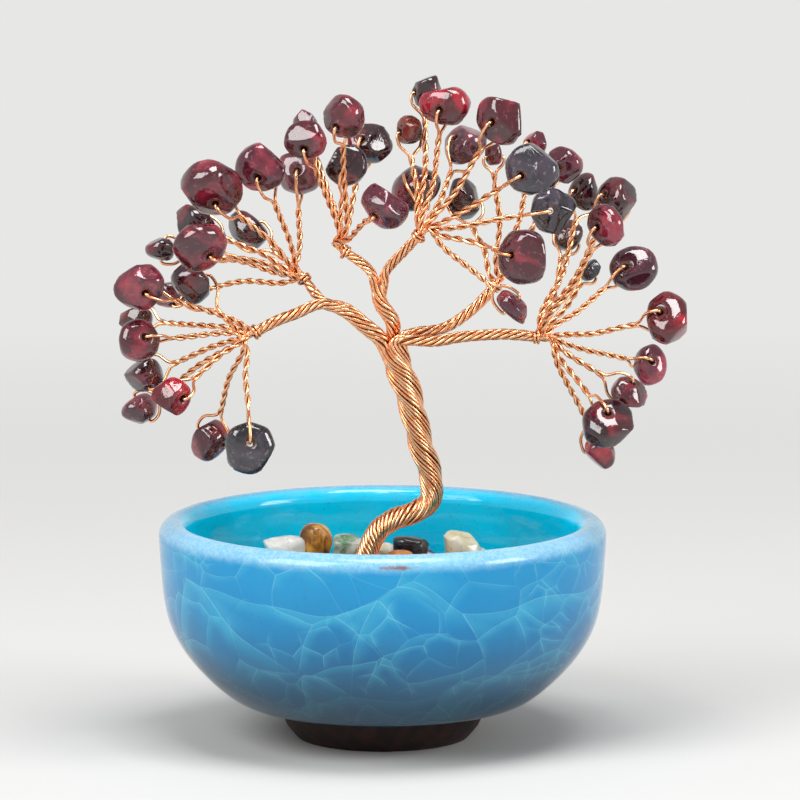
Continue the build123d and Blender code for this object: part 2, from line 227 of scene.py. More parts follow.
def levelSides(line):
    # the way along the line, a side held level with the picture, and the third
    way = unit(np.gradient(line, axis=0))
    side = unit(np.cross((0, 1, 0), way))
    return way, side, np.cross(way, side)


def steadySides(line, first):
    # a side that turns as little as it can along the line
    way = unit(np.gradient(line, axis=0))
    sides = [np.array(first, float)]
    for here in way:
        side = sides[-1] - here * sides[-1].dot(here)
        sides.append(side / norm(side))
    side = np.array(sides[1:])
    return way, side, np.cross(way, side)


wireTip = (0.45, 0.6)  # how far out a wire's rounded end goes and how wide it ends, as shares of its radius


class Weave:  # gathers swept wires and grids into one mesh
    def __init__(self):
        self.points, self.faces, self.marks = [], [], []

    def grid(self, rings, closeEnds=True, mark=0.0):
        count, around = rings.shape[:2]
        base = len(self.points)
        self.points.extend(rings.reshape(-1, 3))
        self.marks.extend(np.broadcast_to(mark, (count, around)).reshape(-1))
        for i in range(count - 1):
            for j in range(around):
                low, after = base + i * around, (j + 1) % around
                self.faces.append((low + j, low + after, low + around + after, low + around + j))
        if closeEnds:
            for ring, turned in ((0, True), (count - 1, False)):
                loop = [base + ring * around + j for j in range(around)]
                middle = len(self.points)
                self.points.append(rings[ring].mean(0))
                self.marks.append(self.marks[loop[0]])
                for j in range(around):
                    pair = (loop[j], loop[(j + 1) % around])
                    self.faces.append((middle, *(pair[::-1] if turned else pair)))

    def wire(self, line, radius, sides, inward=(0, 0, 0), dark=0.0):
        # inward: the way to the wires it lies against, the side where the finish paints shade between the wires;
        # dark: the least share of that painted shade all round
        first = np.cross(line[1] - line[0], (0.3, 0.8, 0.5))
        way, side, up = steadySides(line, first)
        reach = np.broadcast_to(radius, len(line))[:, None, None]
        ring = roundAt(turnsOf(sides), side[:, None], up[:, None])
        rings = line[:, None] + reach * ring
        inward = np.reshape(inward, (-1, 1, 3))
        mark = np.clip(((ring * inward).sum(2) + norm(inward, axis=2)) / 2, dark, 1)
        out, wide = wireTip
        tips = [line[[end]][:, None] + sign * way[[end]][:, None] * reach[end] * out + ring[[end]] * reach[end] * wide
                for end, sign in ((0, -1), (-1, 1))]
        self.grid(np.vstack((tips[0], rings, tips[1])), mark=np.vstack((mark[:1], mark, mark[-1:])))

    def strand(self, rows, sides):  # rows of place, radius and the way inward
        self.wire(rows[:, :3], rows[:, 3], sides, rows[:, 4:])

    def piece(self, name, body, finishes, slot, *stoodFor, tones=()):
        mesh = bpy.data.meshes.new(name)
        mesh.from_pydata([tuple(p) for p in np.array(self.points) * mm], [], self.faces)
        mesh.shade_smooth()
        mark = mesh.attributes.new("mark", "FLOAT", "POINT")
        mark.data.foreach_set("value", np.array(self.marks, np.float32))
        for finish in finishes:
            mesh.materials.append(finish)
        if tones:
            mesh.polygons.foreach_set("material_index", tones)
        work = bmesh.new()
        work.from_mesh(mesh)
        bmesh.ops.remove_doubles(work, verts=work.verts, dist=0.0005 * mm)
        bmesh.ops.recalc_face_normals(work, faces=work.faces)
        work.to_mesh(mesh)
        work.free()
        made = bpy.data.objects.new(name, mesh)
        putIn(made)
        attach(made, body)
        if stoodFor:
            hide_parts(*stoodFor)


# finishes
# the groove tone is painted shade, laid where wires lie against one another and on the hidden cores
copperTones = {"deep": (1.0, 0.43, 0.20), "bright": (1.0, 0.60, 0.35), "dull": (0.70, 0.26, 0.10),
               "grooveShade": (0.30, 0.070, 0.018)}


def copperFinish():
    copper = Finish("copper", Metallic=1.0)
    tone = copper.grain(900, 2).between(0.35, 0.7)
    dull = copper.grain(160, 3, shift=(0.3, 0, 0)).between(0.45, 0.75)
    # painted shade between the wires, read from the mesh's mark
    grooveShade = copper.mark().between(0.14, 0.44)
    colour = copper.mix(tone, copperTones["deep"], copperTones["bright"])
    colour = copper.mix(dull * 0.22, colour, copperTones["dull"])
    colour = copper.mix(grooveShade * 0.8, colour, copperTones["grooveShade"])
    copper.height(copper.grain(1500, 2), 0.05, 0.0001)
    return copper.show(Base_Color=colour, Roughness=0.17 + 0.12 * dull + 0.25 * grooveShade)


garnetTones = {  # deep colour, lit colour, how far the lit colour spreads, share of painted pale sheen
    "wine": ((0.060, 0.004, 0.010), (0.29, 0.018, 0.040), 0.47, 0.22),
    "dark": ((0.022, 0.003, 0.006), (0.15, 0.010, 0.020), 0.51, 0.14),
    "red": ((0.075, 0.002, 0.006), (0.36, 0.009, 0.024), 0.47, 0.08),
    "pink": ((0.075, 0.006, 0.018), (0.33, 0.030, 0.055), 0.47, 0.20),
    "mauve": ((0.050, 0.010, 0.020), (0.21, 0.045, 0.065), 0.48, 0.30),
    "brown": ((0.045, 0.008, 0.006), (0.20, 0.030, 0.020), 0.48, 0.15),
    "slate": ((0.010, 0.008, 0.014), (0.050, 0.036, 0.055), 0.50, 0.28),
}
# a pale pinkish painted sheen, standing in for broad reflections of the lamps on the facets, and the bore's own dull
# tone
paintedSheenTone, boreTone = (0.42, 0.28, 0.31), (0.10, 0.045, 0.045)


def garnetFinish(name, deep, lit, spread, sheenShare):
    stone = Finish("garnet_" + name, IOR=1.74, Subsurface_Weight=0.15, Subsurface_Radius=(1.0, 0.12, 0.08),
                   Subsurface_Scale=0.0016)
    glow = stone.grain(170, 3, 0.7).between(spread, spread + 0.2)
    streak = stone.grain(700, 3, 1.5, (0.2, 0.1, 0)).between(0.6, 0.75)
    # patches of painted pale sheen, standing in for broad reflections on the facets
    paintedSheen = stone.grain(1300, 3, 0.5, (0, 0.4, 0)).between(0.58, 0.72)
    pits = stone.grain(1900, 3, 0.4).between(0.62, 0.74)
    bore = stone.mark()
    colour = stone.mix(glow, deep, lit)
    colour = stone.mix(streak * 0.25, colour, [min(1, 2.2 * c + 0.01) for c in lit])
    colour = stone.mix(paintedSheen * sheenShare, colour, paintedSheenTone)
    colour = stone.mix(bore * 0.75, colour, boreTone)
    stone.height(stone.grain(420, 3, 0.6) * 0.8 - pits * 0.12, 0.2, 0.0004)
    return stone.show(Base_Color=colour, Roughness=0.06 + 0.10 * pits + 0.35 * bore + 0.05 * paintedSheen)


# inside: painted light, the bowl's inside made lighter as if lit from above
# lip: pale worn glaze with a painted highlight on the lip
glazeTones = {
    "body": ((0.0, 0.165, 0.40), (0.0, 0.205, 0.47)), "high": (0.0, 0.34, 0.68), "inside": (0.0, 0.66, 1.0),
    "tile": (0.04, 0.40, 0.62), "crack": (0.24, 0.62, 0.78), "low": (0.020, 0.040, 0.052),
    "speck": (0.01, 0.10, 0.20), "lip": (0.36, 0.60, 0.75), "fleck": (0.10, 0.15, 0.19),
    "bare": (0.22, 0.075, 0.040), "clay": ((0.008, 0.002, 0.001), (0.030, 0.008, 0.004)),
}
glazeLevels = {  # heights, or reaches from the middle, over which each tone comes in, in millimetres
    "high": (20, 34), "low": (26, 8), "bed": (23.0, 24.5), "wallReach": (33.4, 34.6), "lip": (34.3, 36.2),
    "lipReach": (33.4, 36.2), "foot": (5.75, 5.45),
}
bareStreak = {"at": (2.4, 35.0), "shape": (0.17, 1.5)}  # at the front of the lip
crackles = {  # sway's scale and size, stretch, cells a metre, width of a crack, strength, where it starts to show
    "arcs": (32.0, 0.020, 1.9, 38, 0.007, 0.9, 0.2),
    "tiles": (70.0, 0.008, 1.3, 105, 0.016, 0.85, 0.33),
    "flakes": (95.0, 0.006, 1.15, 190, 0.026, 0.75, 0.45),
}


def crackle(glaze, flat, spot, seam):
    # the cracks, and how light each tile of the glaze is: a random tone for each tile, with painted light along the
    # upper side of its edges
    crack, tone = 0.0, 0.0
    for swayScale, swaySize, stretch, scale, width, share, patch in crackles.values():
        sway = glaze.node("TexNoise", None, {"Vector": spot, "Scale": swayScale, "Detail": 1.0}, "Color")
        moved = glaze.vector("MULTIPLY_ADD", sway, (swaySize,) * 3, flat)
        vector = glaze.vector("MULTIPLY", moved, (1, stretch, 1))
        shown = glaze.grain(52, 2, shift=(0.5, 0.2, share)).between(patch, patch + 0.1) * (1 - seam) * share
        edge = glaze.cells(vector, scale, "DISTANCE_TO_EDGE")
        each, middle = [glaze.cells(vector, scale, output=output) for output in ("Color", "Position")]
        above = glaze.vector("DOT_PRODUCT", glaze.vector("SUBTRACT", vector, middle),
                             (-0.4 * scale, 0.9 * scale, 0), output="Value")
        above = above.between(-0.08, 0.22)  # painted light on the upper side of a tile's edge
        crack = crack + (1 - edge.between(width * 0.3, width)) * shown * (0.2 + 1.2 * each) * (0.3 + 0.8 * above)
        tone = tone + ((each - 0.5) * 0.8 + (1 - edge.between(0, 0.24)) * above * 1.2) * shown
    return crack.clamped(), tone


def glazeFinish():
    glaze, levels = Finish("glaze", IOR=1.48), glazeLevels
    spot = glaze.place()
    axes = glaze.node("SeparateXYZ", None, {0: spot})
    x, y, z = [Signal(glaze, output) for output in axes.socket.node.outputs]
    height, reach = z * 1000, (x * x + y * y) ** 0.5 * 1000

    turnAt = x.math("ARCTAN2", x, y * -1.0)  # the wall rolled out flat, its seam at the back
    flat = glaze.node("CombineXYZ", None, {0: turnAt * 0.036, 1: z})
    seam = (1 - abs(x).between(0.0008, 0.003)) * y.between(0.0, 0.005)
    crack, tone = crackle(glaze, flat, spot, seam)
    # the inside is painted lighter, as painted light falling into the bowl from above
    inside = (1 - reach.between(*levels["wallReach"])) * height.between(*levels["bed"])
    outside = 1 - 0.8 * inside

    lip = (height + glaze.grain(300, 3) * 1.2).between(*levels["lip"])
    lip = lip * (reach + glaze.grain(200, 3) * 2).between(*levels["lipReach"])
    fleck = glaze.grain(1300, 3, roughness=0.7)
    # the lip's pale band: worn glaze, and a painted highlight on the lip
    wornAndHighlight = (lip * (0.62 + 0.38 * fleck.between(0.42, 0.58))).clamped()
    speck = glaze.grain(1500, 2).between(0.60, 0.72)
    (bareX, bareZ), (wide, high) = bareStreak["at"], bareStreak["shape"]
    away = (((x * 1000 - bareX) * wide) ** 2.0 + ((height - bareZ) * high) ** 2.0) ** 0.5
    away = away + glaze.grain(900, 3) - 0.5
    layers = {  # laid over one another in this order
        "high": height.between(*levels["high"]) * 0.6, "inside": inside,
        # tile: each tile's random tone, and painted light along the upper side of its edges
        "tile": (tone * 0.42 + 0.06).clamped() * outside, "crack": crack * 0.52 * outside,
        "low": height.between(*levels["low"]) * 0.84, "speck": speck * 0.2, "lip": wornAndHighlight * 0.80,
        "fleck": lip * fleck.between(0.58, 0.66) * 0.4,
        "bare": (1 - away.between(0.05, 0.75)) * (1 - y.between(-0.03, -0.02)) * 0.85,
    }
    body = glaze.mix(glaze.grain(45, 4, 0.3).between(0.35, 0.65), *glazeTones["body"])
    for name, share in layers.items():
        body = glaze.mix(share, body, glazeTones[name])
    clay = glaze.mix(glaze.grain(500, 4).between(0.35, 0.7), *glazeTones["clay"])
    foot = (height + glaze.grain(220, 2) * 0.5).between(*levels["foot"])
    relief = glaze.grain(90, 2) * 0.5 + tone * 0.05 + wornAndHighlight * glaze.grain(900, 3) * 0.06
    glaze.height(relief * (1 - foot) + foot * glaze.grain(1100, 3) * 0.25, 0.3, 0.0006)
    rough = 0.08 + 0.12 * wornAndHighlight + 0.02 * speck
    return glaze.show(Base_Color=glaze.mix(foot, body, clay), Roughness=rough * (1 - foot) + 0.75 * foot)


def plasterFinish():
    plaster = Finish("plaster", Roughness=0.9)
    colour = plaster.ramp(plaster.grain(420, 5), (0.3, (0.36, 0.33, 0.29)), (0.7, (0.60, 0.57, 0.51)))
    plaster.height(plaster.grain(900, 4), 0.6, 0.0006)
    return plaster.show(Base_Color=colour)


stoneTones = {  # three colours from dark to pale, scale of the figure, stretch, roughness
    "white": ((0.62, 0.60, 0.54), (0.78, 0.77, 0.72), (0.88, 0.87, 0.83), 220, 1.0, 0.18),
    "quartz": ((0.66, 0.56, 0.33), (0.78, 0.72, 0.52), (0.86, 0.84, 0.72), 160, 1.4, 0.10),
    "moss": ((0.10, 0.26, 0.12), (0.70, 0.72, 0.62), (0.82, 0.82, 0.76), 260, 1.0, 0.16),
    "rose": ((0.55, 0.20, 0.17), (0.72, 0.38, 0.32), (0.80, 0.58, 0.52), 240, 1.0, 0.15),
    "amber": ((0.15, 0.045, 0.010), (0.68, 0.28, 0.035), (0.90, 0.50, 0.10), 240, 2.2, 0.10),
    "carnelian": ((0.30, 0.05, 0.01), (0.58, 0.15, 0.03), (0.75, 0.32, 0.10), 200, 1.3, 0.12),
    "black": ((0.004, 0.004, 0.005), (0.012, 0.012, 0.014), (0.05, 0.05, 0.055), 340, 1.5, 0.07),
    "plum": ((0.03, 0.012, 0.05), (0.11, 0.05, 0.16), (0.30, 0.20, 0.38), 260, 1.2, 0.10),
    "jasper": ((0.05, 0.09, 0.05), (0.12, 0.18, 0.09), (0.26, 0.22, 0.12), 320, 1.6, 0.15),
}


def stoneFinish(name, low, middle, high, scale, stretch, rough):
    stone = Finish("stone_" + name, IOR=1.54, Subsurface_Weight=0.06, Subsurface_Radius=(1.0, 0.8, 0.6),
                   Subsurface_Scale=0.0008, Coat_Weight=0.15)
    turned = {"Vector": stone.place(), "Rotation": (0.4, 0.3, 0.7), "Scale": (1, stretch, 1)}
    figure = stone.node("TexNoise", None, {"Vector": stone.node("Mapping", None, turned), "Scale": scale,
                                           "Detail": 5.0, "Distortion": 1.2})
    colour = stone.ramp(figure, (0.36, low), (0.5, middle), (0.66, high))
    vein = 1 - abs(stone.grain(scale * 0.8, 4, 2.0, (0.7, 0, 0)) - 0.5).between(0.004, 0.018)
    colour = stone.mix(vein * 0.35, colour, [0.4 * c for c in low])
    stone.height(stone.grain(500, 3), 0.2, 0.0004)
    return stone.show(Base_Color=colour, Roughness=rough + 0.12 * stone.grain(900, 3).between(0.55, 0.75))


copper = copperFinish()
garnetFinishes = {name: garnetFinish(name, *tone) for name, tone in garnetTones.items()}
glaze = glazeFinish()
plaster = plasterFinish()
stoneFinishes = {name: stoneFinish(name, *tone) for name, tone in stoneTones.items()}
print("finishes made")


# the bowl: one profile turned round, a little uneven as by hand
bowl = {
    "footInner": 11.2, "footOuter": 14.8, "recess": 2.4, "rounding": (0.3, 0.35, 0.4), "centre": 0.01,
    "footSide": ((16.2, 2.1), (17.2, 4.2), (17.5, 5.0), (17.9, 5.22)), "glazeEdge": (18.19, 5.2),
    "belly": ((24.0, 6.33), (28.5, 9.49), (33.19, 14.65), (35.89, 19.87), (37.13, 27.97)),
    "bellyWays": ((1, 0.08, 0), (0.02, 1, 0)), "step": 0.9, "lip": (37.5, 34.2), "lipTop": 36.8, "wall": 5.0,
    "shoulder": 23.5, "turn": 14.5, "rows": {"lip": 19, "wall": 9, "base": 12}, "around": 192,
    "wave": {"size": 0.05, "around": 1.3, "up": 0.05, "from": 5.3, "middle": 0.6, "whole": 10},
}


def bowlProfile():
    (rim, rimHeight), half, turn, shoulder = bowl["lip"], bowl["wall"] / 2, bowl["turn"], bowl["shoulder"]
    near, far, recess, rows = bowl["footInner"], bowl["footOuter"], bowl["recess"], bowl["rows"]
    corner, nearEdge, farEdge = bowl["rounding"]
    foot = [(bowl["centre"], recess), (near - corner, recess), (near, recess - corner), (near, nearEdge),
            (near + nearEdge, 0), (far - farEdge, 0), (far, farEdge), *bowl["footSide"]]
    outer = [(*p, 0) for p in (bowl["glazeEdge"], *bowl["belly"], bowl["lip"])]
    outer = smoothLine(outer, *bowl["bellyWays"], bowl["step"])[:, :2]
    lip = [(rim - half + half * cos(a), rimHeight + (bowl["lipTop"] - rimHeight) * sin(a))
           for a in np.linspace(0, pi, rows["lip"])[1:]]
    inner = rim - bowl["wall"]
    wall = [(inner, z) for z in np.linspace(rimHeight, shoulder, rows["wall"])[1:]]
    base = [(inner - turn + turn * cos(a), shoulder - turn * sin(a))
            for a in np.linspace(0, pi / 2, rows["base"])[1:]]
    return [*foot, *map(tuple, outer), *lip, *wall, *base, (bowl["centre"], shoulder - turn)]


def makeBowl():
    weave, profile, wave = Weave(), np.array(bowlProfile()), bowl["wave"]
    rings = np.zeros((len(profile), bowl["around"], 3))
    for i, (reach, z) in enumerate(profile):
        for j, a in enumerate(turnsOf(bowl["around"])):
            at = Vector((cos(a) * wave["around"], sin(a) * wave["around"], z * wave["up"]))
            sway = noise.noise(at) if wave["from"] < z else 0
            give = reach - wave["size"] * (wave["middle"] + sway) * min(1, reach / wave["whole"])
            rings[i, j] = give * cos(a), give * sin(a), z
    weave.grid(rings)
    weave.piece("bowl_body", "tree", [glaze], "glaze", "bowl")


makeBowl()
nodes["planting_bed"].data.materials.clear()
nodes["planting_bed"].data.materials.append(plaster)
print("bowl and bed made")


chipTones = {  # finish of each chip, in the order of the nodes
    "left_low": "pink brown wine dark red mauve wine slate dark",
    "left_high": "wine wine dark dark wine dark pink mauve",
    "middle_left": "mauve wine wine dark dark pink",
    "middle_right": "dark red brown dark mauve wine slate slate wine pink",
    "right_high": "dark red pink pink",
    "right_low": "dark dark wine brown mauve slate red pink wine dark red",
}
chips = {"around": 40, "bore": 0.6, "gap": 0.9, "fullness": 3.0, "lumps": 0.03, "corners": 2,
         "facets": {"count": 8, "depth": (0.80, 0.93)}}
tumbling = {  # what chips and stones share; sizes in millimetres, the swells' scale and how far a seed moves them
    "rows": 21, "facetTilt": 0.95, "facetCut": 0.92, "swell": (0.42, 3.7), "ripple": (1.1, 2.3), "calmed": 1.2,
    "mouth": {"within": 0.4, "depth": 0.10, "width": 0.5, "shade": 0.55}, "boreRows": (-0.8, -0.4, 0, 0.4, 0.8),
}


# chips and stones alike: a smooth lump inside its solid's rim
def rimReaches(node, middle, axes, kind):
    # how far the solid's rim is from the middle, at each turn
    tree = BVHTree.FromObject(node, bpy.context.evaluated_depsgraph_get())
    reaches, (across, along) = [], [Vector(way) for way in axes[:2]]
    for angle in turnsOf(kind["around"]):
        way = across * cos(angle) + along * sin(angle)
        hit = tree.ray_cast(Vector(middle) * mm + way * kind["gap"] * mm, way)[0]
        reaches.append((hit - Vector(middle) * mm).length / mm)
    reaches = np.array(reaches)
    for _ in range(kind["corners"]):  # the corners round off
        reaches = (np.roll(reaches, 1) + 2 * reaches + np.roll(reaches, -1)) / 4
    return reaches


def lump(weave, middle, axes, reaches, half, kind, seed, top=1.0):
    # kind: the chips' or the stones' dictionary; top: how the height splits about the middle
    across, along, up = axes
    bore, facets, mouth = kind["bore"], kind["facets"], tumbling["mouth"]
    around, wide = len(reaches), reaches.mean()
    (swellScale, swellSeed), (rippleScale, rippleSeed) = tumbling["swell"], tumbling["ripple"]
    rng, tilt = Random(seed), tumbling["facetTilt"]
    turn, planes = turnsOf(around), []
    for _ in range(facets["count"]):
        a, b = rng.uniform(-tilt, tilt), rng.uniform(0, 2 * pi)
        planes.append((np.array((cos(a) * cos(b), cos(a) * sin(b), sin(a))), rng.uniform(*facets["depth"])))
    rings, marks = [], []
    for a in np.linspace(pi / 2, -pi / 2, tumbling["rows"]):
        reachShare = abs(cos(a)) ** (2 / kind["fullness"])
        riseShare = np.sign(sin(a)) * abs(sin(a)) ** (2 / kind["fullness"])
        ring = []
        for j, b in enumerate(turn):
            reach = max(reaches[j] * reachShare, bore + 0.02)
            rise, calm = riseShare, 1
            if bore:
                calm = min(1, (reach - bore) / tumbling["calmed"])
                if reachShare < mouth["within"]:
                    rise *= 1 - mouth["depth"] * max(0, 1 - (reach - bore) / mouth["width"]) ** 2
            local = np.array((cos(b) * reach / wide, sin(b) * reach / wide, rise))
            for normal, depth in planes:
                local = local - normal * max(0, local @ normal - depth) * tumbling["facetCut"]
            local = local * (wide, wide, half)
            point = Vector(across * local[0] + along * local[1] + up * local[2])
            swell = noise.noise(point * swellScale + Vector((seed * swellSeed, seed, 0)))
            swell += 0.5 * noise.noise(point * rippleScale + Vector((0, seed * rippleSeed, seed)))
            give = 1 - kind["lumps"] * (0.5 + 0.5 * swell) * calm
            far = np.hypot(local[0], local[1])
            far = max(far, bore) / max(far, 0.001) * give
            height = local[2] * give * (top if local[2] > 0 else 2 - top) + half * (1 - top)
            ring.append(middle + (across * local[0] + along * local[1]) * far + up * height)
        rings.append(ring)
        marks.append([max(0.0, 1 - (max(r * reachShare, bore) - bore) / mouth["shade"]) if bore else 0.0
                      for r in reaches])
    if bore:
        for share in tumbling["boreRows"]:
            rings.append([middle + (across * cos(b) + along * sin(b)) * bore + up * half * share for b in turn])
            marks.append([1.0] * around)
        rings.append(rings[0])
        marks.append(marks[0])
    weave.grid(np.array(rings), closeEnds=not bore, mark=np.array(marks))


def boreOf(number):
    # a chip's name, its bore's middle and way, its corners seen from there, and half its thickness
    name = f"garnet_{number:02d}"
    joint = next(j for j in frame["joints"] if j["child"] == name)
    bore, up = np.array(joint["pos_m"]) / mm, np.array(joint["axis"])
    corners = np.array([v.co for v in nodes[name].data.vertices]) / mm - bore
    return name, bore, up, corners, np.abs(corners @ up).max()


def makeChip(number, tone):
    name, bore, up, _, half = boreOf(number)
    across = unit(np.cross(up, (0.2, 0.4, 0.9)))
    axes = across, np.cross(up, across), up
    weave = Weave()
    lump(weave, bore, axes, rimReaches(nodes[name], bore, axes, chips), half, chips, number)
    weave.piece(name + "_stone", name, [garnetFinishes[tone]], "garnet", name)


for number, tone in enumerate(" ".join(chipTones.values()).split(), 1):
    makeChip(number, tone)
print(number, "chips made")


# stones in the bowl: one piece for each group, a finish for each stone
stoneTable = {  # finishes in turn, slot, and by number: finish, how wide, share of the height above, lean
    "pale_stones": ("white quartz rose white moss quartz", "pale_stone",
                    {1: ("white", 1.25, 0.5, -5), 6: ("moss", 1.15, 0.5, 4), 9: ("quartz", 1.1, 0.62, 8)}),
    "amber_stones": ("carnelian amber jasper", "amber_stone",
                     {3: ("amber", 0.95, 0.85, 12), 5: ("carnelian", 1, 0.7, 0)}),
    "dark_stones": ("plum jasper black", "dark_stone", {7: ("black", 1.1, 0.5, 9)}),
}
stones = {"around": 36, "bore": 0, "gap": 0, "fullness": 2.4, "lumps": 0.06, "corners": 3, "firstSeed": 60,
          "facets": {"count": 9, "depth": (0.64, 0.9)}, "wide": (1.0, 1.1), "top": (0.55, 0.9), "lean": (-9, 9)}


def islandsOf(node):
    # the separate solids in a node, as lists of corners
    work = bmesh.new()
    work.from_mesh(node.data)
    bmesh.ops.remove_doubles(work, verts=work.verts, dist=0.001 * mm)
    left, found = set(work.verts), []
    while left:
        island, edge = [], [next(iter(left))]
        left.discard(edge[0])
        while edge:
            vert = edge.pop()
            island.append(np.array(vert.co) / mm)
            for link in vert.link_edges:
                other = link.other_vert(vert)
                if other in left:
                    left.discard(other)
                    edge.append(other)
        found.append(np.array(island))
    work.free()
    return sorted(found, key=lambda island: tuple(np.round(island.mean(0), 2)))


def makeStones(group, inTurn, slot, known):
    weave, tones, rng, inTurn, places = Weave(), [], Random(len(group)), inTurn.split(), []
    used = sorted({*inTurn, *(row[0] for row in known.values())})
    for number, island in enumerate(islandsOf(nodes[group])):
        low, high = island.min(0), island.max(0)
        middle, half = (low + high) / 2, (high[2] - low[2]) / 2
        reaches = rimReaches(nodes[group], middle, np.eye(3), stones)
        places.append((middle, reaches, half))
        chance = inTurn[number % len(inTurn)], *[rng.uniform(*stones[key]) for key in ("wide", "top", "lean")]
        tone, wide, top, lean = known.get(number, chance)
        lean = radians(lean)
        axes = [np.array(way) for way in ((cos(lean), 0, -sin(lean)), (0, 1.0, 0), (sin(lean), 0, cos(lean)))]
        before = len(weave.faces)
        widened = reaches * (1 + (wide - 1) * np.cos(turnsOf(stones["around"])) ** 2)
        lump(weave, middle, axes, widened, half, stones, number + stones["firstSeed"], top)
        tones.extend([used.index(tone)] * (len(weave.faces) - before))
    weave.piece(group + "_tumbled", "tree", [stoneFinishes[name] for name in used], slot, group, tones=tones)
    return places


stonePlaces = [place for group, row in stoneTable.items() for place in makeStones(group, *row)]
print(len(stonePlaces), "stones made")


# the tree: trunk, limbs and ropes of laid wires, on part.py's lines
trunk = {
    "root": (359, 575, -0.3), "bedTop": 26.5, "rootDepth": 7.0, "radii": (1.6, 1.85, 2.4), "elbow": 0.36,
    "lay": ((0, 7.5), (0.34, 9.0), (0.5, 17.0), (1, 22.0)), "wires": 20, "fewer": 12, "few": (0.34, 0.5),
    "lobes": {"size": 0.12, "count": 3, "turn": 0.6, "grow": (2.4, 0.6)}, "step": 0.35, "seed": 3,
    "line": ((368, 551, -0.29), (378, 532, -0.24), (393, 521, -0.16), (412, 514, -0.08), (427, 505, -0.02),
             (432, 490, 0), (429, 470, 0), (421, 445, 0), (414, 416, 0), (406, 388, 0), (398, 366, 0), (392, 348, 0)),
}
limbs = {  # what carries it, start on that end as shares of its radius, radius at both ends, points
    "left": ("trunk", (-0.48, 0.0), (1.45, 1.25), ((362, 325, -0.02), (345, 312, -0.02), (328, 306, -0.02))),
    "middle": ("trunk", (0.24, 0.62), (1.3, 1.25), ((392, 322, 0.03), (380, 303, 0.01), (379, 283, 0.0))),
}
ropes = {  # the same, with one radius; the last point is the hub
    "left_low": ("left", (0.0, -0.62), 0.95, ((300, 314, -0.1), (280, 322, -0.2), (259, 333, -0.28))),
    "left_high": ("left", (0.0, 0.66), 0.85, ((316, 296, 0.1), (306, 283, 0.17))),
    "middle_left": ("middle", (-0.66, 0.0), 0.85, ((364, 267, 0.03), (348, 256, 0.05))),
    "middle_right": ("middle", (0.66, 0.0), 0.85, ((396, 262, -0.08), (416, 242, -0.17))),
    "right_high": ("trunk", (0.64, -0.06), 0.95,
                   ((424, 333, 0.06), (444, 329, 0.1), (464, 317, 0.17), (482, 301, 0.24), (493, 289, 0.28))),
    "right_low": ("trunk", (0.2, -0.66), 0.95,
                  ((430, 343, -0.06), (452, 340, -0.06), (480, 337, -0.06), (508, 336, -0.06), (533, 338, -0.05))),
}
lays = {"limb": (14.5, 9, 0), "rope": (9.5, 6, 5),  # a turn's length, wires, seed
        "knot": 3.2, "inside": 0.5, "middle": 0.8}
passing = {"before": 4.0, "after": 3.0, "longer": 1.7, "rising": 11, "inside": 0.25, "depth": 5.0}
wander = {  # how much it changes over a millimetre and from wire to wire, the seed's shift, how far
    "drift": (0.2, 3.1, 0, 0.6), "bulge": (0.3, 5.3, 9, 0.14), "start": (-0.05, 0.05), "thick": (0.96, 1.06),
}
# the cores are painted all in groove shade, a dark fill where the gaps between wires show
cores = {"under": (0.5, 0.45), "tip": 0.3, "least": 0.2, "back": 3, "sides": (10, 8)}  # hidden inside the wires
wires = {"radius": 0.27, "pitch": 3.8, "gap": 0.24, "sides": 8, "step": 0.3}


def endPlane(line):
    way, side, up = levelSides(line)
    return line[-1], way[-1], side[-1], up[-1]


def layWires(line, radius, lay, count, seed, lobes=None, fewer=0, few=0.0):
    # wires laid side by side round a bent line, a little uneven as by hand; where few is 1 some lie inside
    def uneven(k, change, apart, shift, size):
        return size * np.array([noise.noise(Vector((s * change, k * apart, seed + shift))) for s in along])

    _, side, up = levelSides(line)
    along, rng = alongOf(line), Random(seed)
    radius = np.broadcast_to(radius, len(line)).astype(float)
    lay = np.broadcast_to(lay, len(line))
    turns = np.append(0, np.cumsum(np.diff(along) / lay[1:]))
    lean = np.cos(np.arctan2(2 * pi * radius * lays["middle"], lay))
    thick = radius / (1 + (count - few * (count - fewer)) / (pi * lean))
    laid = []
    for k in range(count):
        phase = 2 * pi * k / count + rng.uniform(*wander["start"])
        outer = (k + 1) * fewer // count > k * fewer // count
        spread = phase + (2 * pi * (k * fewer // count) / max(fewer, 1) - phase) * few * outer
        turned = spread - 2 * pi * turns + uneven(k, *wander["drift"]) / count
        lobe = 0
        if lobes:
            grown = np.clip(along / along[-1] * lobes["grow"][0] - lobes["grow"][1], 0, 1)
            lobe = lobes["size"] * np.cos(lobes["count"] * phase + lobes["turn"]) * grown
        reach = radius * (1 + lobe) - thick * (1 - uneven(k, *wander["bulge"]))
        reach = reach * (1 if outer else 1 - lays["inside"] * few)
        out = roundAt(turned, side, up)
        # the last columns point inward, to the side where the finish paints shade between the wires
        laid.append(np.column_stack((line + reach[:, None] * out, thick * rng.uniform(*wander["thick"]), -out)))
    return laid


def eased(count):
    share = np.linspace(0, 1, count)
    return share * share * (3 - 2 * share)


